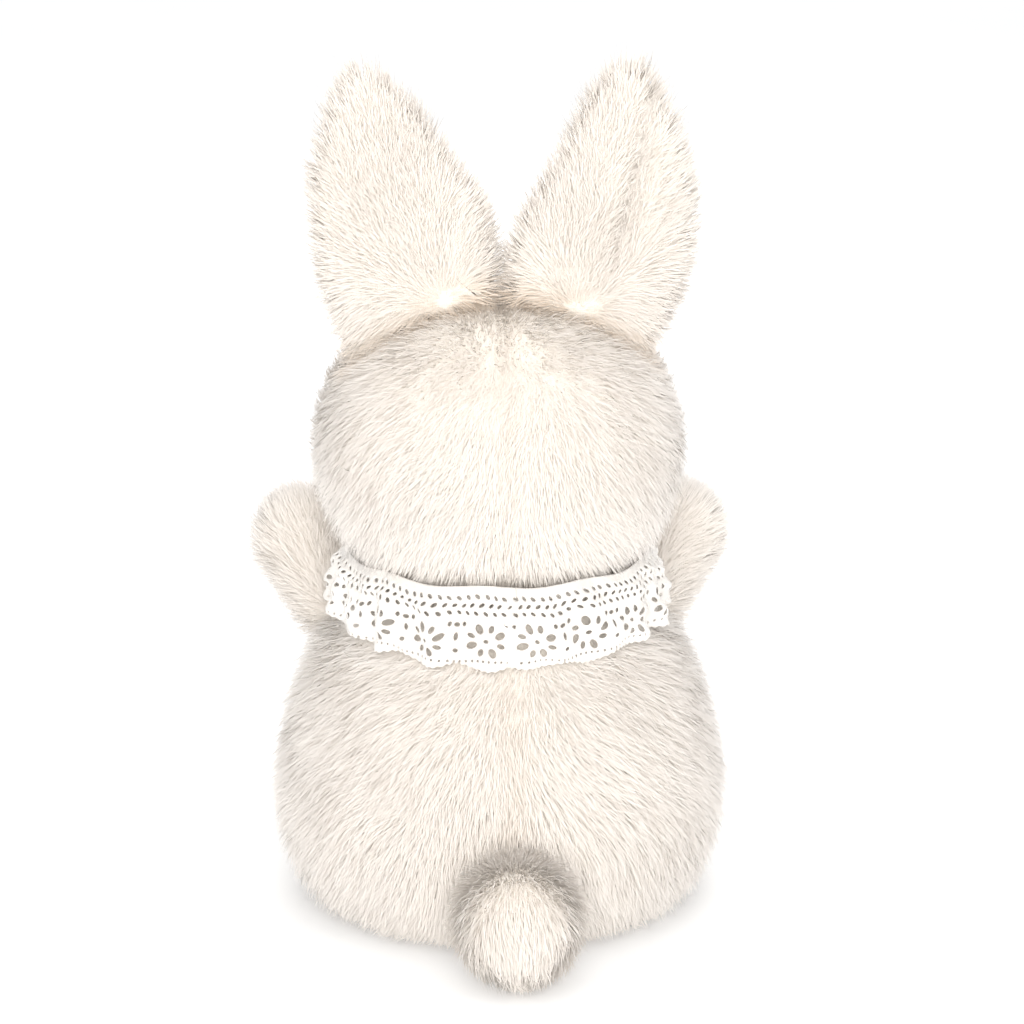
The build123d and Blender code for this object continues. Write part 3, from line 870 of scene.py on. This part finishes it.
# (share of the radius, share of the length)
TAIL_SHAPE = [(0.16, 0.0), (0.31, 0.0), (0.55, 0.12), (0.83, 0.3), (1.0, 0.56), (0.88, 0.8),
              (0.55, 0.94), (0.01, 1.0)]
tail_outline = smooth_curve([(r * TAIL_RADIUS, y * tail_length) for r, y in TAIL_SHAPE], 46)
points, outward = lathe(tail_outline, tail_root, (0, 1, 0), (1, 0, 0), 0, 360, 60)
tail_surface = (points, grid_normals(points, outward))
rng = default_rng(71)
place, normal = scatter(*tail_surface, 4.0, rng)
flow = np.array([0, 0.8, 0]) - 0.8 * UP + 0.25 * unit(place - tail_root)
flow = flow + 0.3 * wobble(place, 0.03, 18)
# painted shade: a tan band round the top of the tail's root, where it meets the body
tail_top = np.exp(-((place[:, 1] - tail_root[1] - 0.004) / 0.005) ** 2)
tail_top = tail_top * (place[:, 2] > tail_root[2])
tufts = grow(place, normal, flow, TAIL_PILE, FINE_STRAND, 26, 76, rng, clump=0.1, spread=0.2,
             painted_shade=0.15 * tail_top)
furry("tail_fur", ["tail_cover"], "tail", [tail_surface], [tufts], undercoat=0.0018)


# ---- eyes, nose and mouth
def ride_as(obj, body, slot, *nodes):
    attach(obj, body)
    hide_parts(*nodes)


def grid_piece(name, points, material, flipped=False):
    """An object from one grid of points."""
    quads = grid_faces(*points.shape[:2])
    quads = quads[:, ::-1] if flipped else quads
    return make_mesh(name, points.reshape(-1, 3), quads, parts=[(material, len(quads))])


EYE_RIM, EYE_DOME = 0.0006, 0.0034  # how far its edge and then its middle stand out
for side, middle in EYE_CENTRES.items():
    low, high = box(f"eye_{side}")
    radius = (high[2] - low[2]) / 2
    outward = unit(np.array([middle[0], middle[1] - HEAD_Y, 0]))
    seat = np.array([0, HEAD_Y, middle[2]]) + outward * (HEAD_HALF_WIDTH * 0.999)
    angle = np.linspace(0.02, pi / 2, 26)
    dome = np.stack([radius * np.sin(angle), EYE_RIM + EYE_DOME * np.cos(angle)], 1)
    skirt = np.array([(radius, 0.0), (radius * 0.93, -0.0006)])
    stem = np.array([(0.0014, -0.0008), (0.0014, -0.0095)])
    points, _ = lathe(np.vstack([dome, skirt, stem]), seat, outward, UP, 0, 360, 64)
    eye = grid_piece(f"eye_dome_{side}", points, EYE)
    ride_as(eye, "head", "eye_plastic", f"eye_{side}")

# the nose: a padded triangle of satin stitches, each a ridge of thread
NOSE_HALF_WIDTH, NOSE_HALF_HEIGHT, NOSE_PUFF, STITCHES = 0.0058, 0.0042, 0.0036, 15
u, v = np.meshgrid(np.linspace(-1, 1, 90), np.linspace(-1, 1, 40))
rounding = np.sqrt(np.clip(1 - (v * 0.985) ** 6, 0.02, 1))
x = u * (NOSE_HALF_WIDTH * (1 - 0.42 * clamp(-v) ** 1.4) * rounding)
z = NOSE_CENTRE[2] + NOSE_HALF_HEIGHT * v - 0.0006 * (1 - u**2) * (v > 0)
rounded = clamp(1 - u**4) ** 0.5 * clamp(1 - v**4) ** 0.5
ridges = 0.00011 * np.cos(u * STITCHES * pi) * rounded
y = NOSE_HIGH[1] + 0.0012 - (NOSE_PUFF * rounded + ridges)
nose = grid_piece("nose_stitches", np.stack([x, y, z], -1), THREAD, flipped=True)
ride_as(nose, "head", "nose_thread", "nose")


def thread(route, radius, sides=10):
    """A round twisted thread along a smooth route."""
    path = smooth_curve(route, 40)
    way = unit(np.gradient(path, axis=0))
    side = unit(np.cross(way, np.array([0.0, 1.0, 0.02])))
    third = np.cross(way, side)
    turn = np.linspace(0, 2 * pi, sides + 1)
    twist = np.linspace(0, 14, len(path))[:, None]
    bulge = 1 + 0.14 * np.cos(2 * (turn[None] + twist))
    taper = np.sqrt(np.clip(1 - (2 * np.linspace(0, 1, len(path)) - 1) ** 10, 0.02, 1))[:, None]
    spoke = np.cos(turn)[:, None] * side[:, None] + np.sin(turn)[:, None] * third[:, None]
    return path[:, None] + spoke * (radius * bulge * taper)[..., None]


# the mouth: a thread down from the nose, and one out to each side
MOUTH_DROP, MOUTH_WIDE, THREAD_RADIUS = 0.0065, 0.0062, 0.00055
top, y = NOSE_CENTRE[2] - NOSE_HALF_HEIGHT, NOSE_HIGH[1] - 0.0016
fork = top - MOUTH_DROP
routes = [[(0, y - 0.0008, top), (0, y - 0.0008, top - MOUTH_DROP / 2), (0, y, fork)]]
routes += [[(0, y, fork), (wide * 0.5, y + 0.0002, fork - 0.0024),
            (wide, y + 0.0012, fork - 0.0026)] for wide in (MOUTH_WIDE, -MOUTH_WIDE)]
vertices, quads, first = [], [], 0
for route in routes:
    points = thread(route, THREAD_RADIUS)
    vertices.append(points.reshape(-1, 3))
    quads.append(grid_faces(*points.shape[:2], first))
    first += len(vertices[-1])
mouth = make_mesh("mouth_thread", np.vstack(vertices), np.vstack(quads),
                  parts=[(THREAD, sum(map(len, quads)))])
ride_as(mouth, "head", "nose_thread", "mouth_stitches")


# ---- lace collar
LACE_LENGTH, LACE_WIDTH = 0.350, 0.0285
FLOWERS = 18
PITCH = LACE_LENGTH / FLOWERS
LACE_CELL = 0.0005
FLOWER_HEIGHT = 0.0182
FOLDS = 19


def hole(u, v, cu, cv, across, high, turn=0.0):
    """Signed distance, in metres, from the edge of an oval hole: below zero inside it."""
    u, v = u - cu, v - cv
    x, y = u * np.cos(turn) + v * np.sin(turn), -u * np.sin(turn) + v * np.cos(turn)
    return (np.sqrt((x / across) ** 2 + (y / high) ** 2) - 1) * min(across, high)


def handmade(u, v, size, seed):
    """A small smooth error, between about -1 and 1, over the flat lace."""
    rng = default_rng(seed)
    total = np.zeros(u.shape)
    for _ in range(5):
        along = u * rng.uniform(0.4, 1) + v * rng.uniform(-1, 1)
        total += np.sin(along * 2 * pi / size + rng.uniform(0, 2 * pi))
    return total / 3


def lace_field(u, v):
    """How far each point of the flat lace is inside its thread: below zero in a hole."""
    picots = 0.0003 * (1 - np.cos(2 * pi * u / (PITCH / 9)))
    scallop = LACE_WIDTH - 0.0016 * np.abs(np.cos(pi * u / PITCH)) ** 3 - picots
    edge = np.minimum(0.0011, scallop - v)
    u, v = u + 0.0007 * handmade(u, v, 0.021, 81), v + 0.0005 * handmade(u, v, 0.017, 82)
    holes, step = [], PITCH / 6
    for row, lean in ((0.0036, 0.7), (0.0062, -0.6), (0.0088, 0.7)):
        shift = step / 2 * (lean < 0)
        nearest = np.round((u - shift) / step) * step + shift
        holes.append(hole(u, v, nearest, row, 0.00105, 0.00055, lean))
    flower, middle = (np.floor(u / PITCH) + 0.5) * PITCH, FLOWER_HEIGHT
    holes.append(hole(u, v, flower, middle, 0.0008, 0.0008))
    for k in range(8):
        a = 2 * pi * (k + 0.5) / 8
        along, across = (0.0017, 0.00115) if k % 2 else (0.0013, 0.0009)
        x, y = flower + 0.0049 * cos(a), middle + 0.0046 * sin(a)
        holes.append(hole(u, v, x, y, along, across, a))
    between = np.round(u / PITCH) * PITCH
    for du, dv, across, high in (
        (0, -0.0050, 0.0011, 0.0008), (0, -0.0010, 0.0007, 0.0013), (0, 0.0032, 0.0009, 0.0007),
        (-0.0026, -0.0054, 0.0007, 0.0009), (0.0026, -0.0054, 0.0007, 0.0009),
    ):
        holes.append(hole(u, v, between + du, middle + dv, across, high))
    small = PITCH / 10
    cell = (np.floor(u / small) + 0.5) * small
    holes.append(hole(u, v, cell, LACE_WIDTH - 0.0032, 0.0004, 0.0005))
    return np.minimum.reduce([edge, *holes])


def lace_place(u, v, out):
    """Where a point of the flat lace is once gathered round the neck: out lifts it off the fur."""
    turn = 2 * pi * u / (LACE_LENGTH - 0.0035) + pi - 0.03
    side, away = np.sin(turn), np.cos(turn)
    down = v / LACE_WIDTH
    level = BAND_TOP + 0.0022 + 0.0006 * np.sin(9 * turn)
    hem = HEM_LOW + 0.0006 + HEM_RADIUS * (1 + away) * HEM_RISE * 1.2
    ruffled = 0.35 + 0.65 * clamp(np.abs(side) * 1.2 + (away > 0) * 0.5)
    folds = np.sin(FOLDS * turn + 1.3 * np.sin(3 * turn))
    folds = folds + 0.6 * np.sin(31 * turn + 2.0 * np.sin(2 * turn + 1))
    crumple = 0.0011 * handmade(u, v * 1.6, 0.013, 83) * (0.5 + ruffled)
    wave = 0.0014 * folds * ruffled * down**0.8 + crumple * clamp(down * 3)
    belly = 0.0014 * np.sin(pi * down) + 0.0008 * np.sin(pi * clamp(down * 2.4))
    neck = BAND_RADIUS + 0.0005 + 0.001 * handmade(u, 0 * v, 0.05, 85)
    r = neck + (HEM_RADIUS - neck) * down + belly + wave + out
    z = level + (hem - level) * down + 0.0006 * handmade(u, v, 0.024, 84) * down + 0.25 * out
    turn = turn + 0.010 * np.sin(38 * turn) * (0.6 - down)
    return np.stack([r * np.sin(turn), -r * np.cos(turn), z], -1)


HEM_RADIUS = collar_high[1] - 0.0010
BAND_THICK = 0.0026
band_low, band_high = box("collar_neckband")
BAND_RADIUS = band_high[0]
BAND_MIDDLE, BAND_TOP = (band_low[2] + band_high[2]) / 2, band_high[2]


def clipped_cells(field):
    """Polygons of the cells where the field is above zero, the whole cells first.

    A polygon's corner is (grid point, grid point, share): a place between the two.
    """
    polygons = []
    up = field > 0
    up = up[:-1, :-1], up[1:, :-1], up[:-1, 1:], up[1:, 1:]
    whole = np.logical_and.reduce(up)
    mixed = np.logical_or.reduce(up) & ~whole
    for i, j in (*zip(*np.nonzero(whole)), *zip(*np.nonzero(mixed))):
        corners = [(i, j), (i, j + 1), (i + 1, j + 1), (i + 1, j)]
        polygon = []
        for k in range(4):
            a, b = corners[k], corners[(k + 1) % 4]
            fa, fb = field[a], field[b]
            if fa > 0:
                polygon.append((a, a, 0.0))
            if (fa > 0) != (fb > 0):
                low, high = min(a, b), max(a, b)
                share = field[low] / (field[low] - field[high])
                polygon.append((low, high, float(share)))
        if len(polygon) > 2:
            polygons.append(polygon)
    return polygons


def build_lace():
    """The flat lace: points of (along, down, distance inside the thread), and its faces."""
    columns = int(LACE_LENGTH / LACE_CELL) + 1
    rows = int(LACE_WIDTH / LACE_CELL) + 2
    u = np.linspace(0, LACE_LENGTH, columns)[None] * np.ones((rows, 1))
    v = (np.arange(rows) * LACE_CELL)[:, None] * np.ones((1, columns))
    field = lace_field(u, v)
    grid = np.stack([u, v, field], -1)
    points, index = [], {}

    def corner(key):
        if key not in index:
            a, b, share = key
            index[key] = len(points)
            points.append(grid[a] * (1 - share) + grid[b] * share)
        return index[key]

    faces = [[corner(key) for key in polygon] for polygon in clipped_cells(field)]
    return np.array(points), faces


flat, faces = build_lace()
thread_height = 0.00022 * np.sqrt(clamp(flat[:, 2] / 0.0006)) + 0.00010
# a corded rim round every hole, and the knots of the ground between
cord = 0.00026 * np.exp(-((flat[:, 2] - 0.00045) / 0.00028) ** 2)
cord = cord + 0.00008 * np.sin(flat[:, 0] * 2 * pi / 0.0013) * np.sin(flat[:, 1] * 2 * pi / 0.0013)
overlap = 0.0009 * clamp((flat[:, 0] - LACE_LENGTH + 0.006) / 0.004)
outer = lace_place(flat[:, 0], flat[:, 1], thread_height + (cord + overlap))
inner = lace_place(flat[:, 0], flat[:, 1], overlap - 0.5 * thread_height)
# both faces, and a wall round every hole and edge
edges = dict.fromkeys((a, b) for face in faces for a, b in zip(face, face[1:] + face[:1]))
count = len(flat)
all_faces = [list(face) for face in faces] + [[i + count for i in reversed(face)] for face in faces]
all_faces += [[b, a, a + count, b + count] for a, b in edges if (b, a) not in edges]
mesh = plain_mesh("lace_ruffle", np.vstack([outer, inner]).tolist(), all_faces, LACE)
mesh.update()
mesh.polygons.foreach_set("use_smooth", np.ones(len(mesh.polygons), bool))
lace = add_object("lace_ruffle", mesh)
ride_as(lace, "torso", "cotton_lace", "lace_collar")
for face in faces:
    corners = flat[face][:, :2]

# the neckband: a narrow gathered tape
turn = np.linspace(0, 2 * pi, 360)
section = np.linspace(0, 2 * pi, 17)
thick, tall = BAND_THICK / 2, (band_high[2] - band_low[2]) / 2
r = BAND_RADIUS - thick + thick * 0.7 * np.cos(section)[None] + 0.0003 * np.sin(85 * turn)[:, None]
z = BAND_MIDDLE + tall * np.sin(section)[None] + 0.0002 * np.sin(57 * turn)[:, None]
points = np.stack([r * np.sin(turn)[:, None], -r * np.cos(turn)[:, None], z], -1)
band = grid_piece("neckband_tape", points, TAPE)
ride_as(band, "torso", "cotton_tape", "collar_neckband")


# ---- what is inside
INSIDE = {"pellet_pouch": POUCH, "base_panel": BACKING}
for part in ("body", "head", "neck", "tail"):
    INSIDE[f"{part}_stuffing"] = FIBRE
for side in SIDES:
    INSIDE[f"eye_washer_{side}"] = WASHER
    for part in ("ear_batting", "arm_stuffing", "leg_stuffing"):
        INSIDE[f"{part}_{side}"] = FIBRE
for node, material in INSIDE.items():
    for entry in frame["nodes"][node].material_slots:
        entry.material = material


# ---- camera, floor and light
SCALE = 0.33 * MM  # metres for each of the 1024 steps across the picture, at the target
DISTANCE = 1.0
ELEVATION, ASIDE = radians(15), radians(4)
TARGET = Vector((-0.0043, 0.0, 0.129))
toward = Vector((sin(ASIDE) * cos(ELEVATION), cos(ASIDE) * cos(ELEVATION), sin(ELEVATION)))
camera_data = bpy.data.cameras.new("camera")
camera_data.sensor_width = 36
camera_data.lens = 36 * DISTANCE / (1024 * SCALE)
camera = add_object("camera", camera_data)
camera.location = TARGET + toward * DISTANCE
camera.rotation_euler = toward.to_track_quat("Z", "Y").to_euler()
bpy.context.scene.camera = camera

floor_material, tree, surface = shader("pale_floor", (0.95, 0.95, 0.95), 0.9)
surface.inputs["Emission Color"].default_value = (1, 1, 1, 1)
surface.inputs["Emission Strength"].default_value = 0.22
tone, _ = mottled(tree, (0.85, 0.85, 0.85), (0.88, 0.88, 0.88), 3.0)
tree.links.new(tone, surface.inputs["Base Color"])
corners = [(-6, -6, 0), (6, -6, 0), (6, 6, 0), (-6, 6, 0)]
floor = add_object("floor", plain_mesh("floor", corners, [(0, 1, 2, 3)], floor_material))

world = bpy.data.worlds.new("world")
bpy.context.scene.world = world
world.use_nodes = True
sky = world.node_tree.nodes["Background"]
sky.inputs["Color"].default_value = (0.985, 0.99, 1.0, 1)
sky.inputs["Strength"].default_value = 0.9


def area_light(name, place, size, power, colour=(1, 1, 1)):
    """A square lamp of a size in metres and a power in watts, aimed at the toy's middle."""
    data = bpy.data.lights.new(name, "AREA")
    data.size = size
    data.energy = power
    data.color = colour
    light = add_object(name, data)
    light.location = place
    light.rotation_euler = (Vector(place) - Vector((0, 0, 0.13))).to_track_quat("Z", "Y").to_euler()


area_light("key", (0.10, 1.5, 0.50), 0.9, 13.5, (1, 0.95, 0.88))
area_light("top", (0, 0.35, 1.6), 1.2, 5, (1, 0.985, 0.965))
area_light("front", (-0.3, -1.5, 0.8), 1.2, 8)

scene = bpy.context.scene
scene.view_settings.view_transform = "Standard"
scene.view_settings.look = "None"
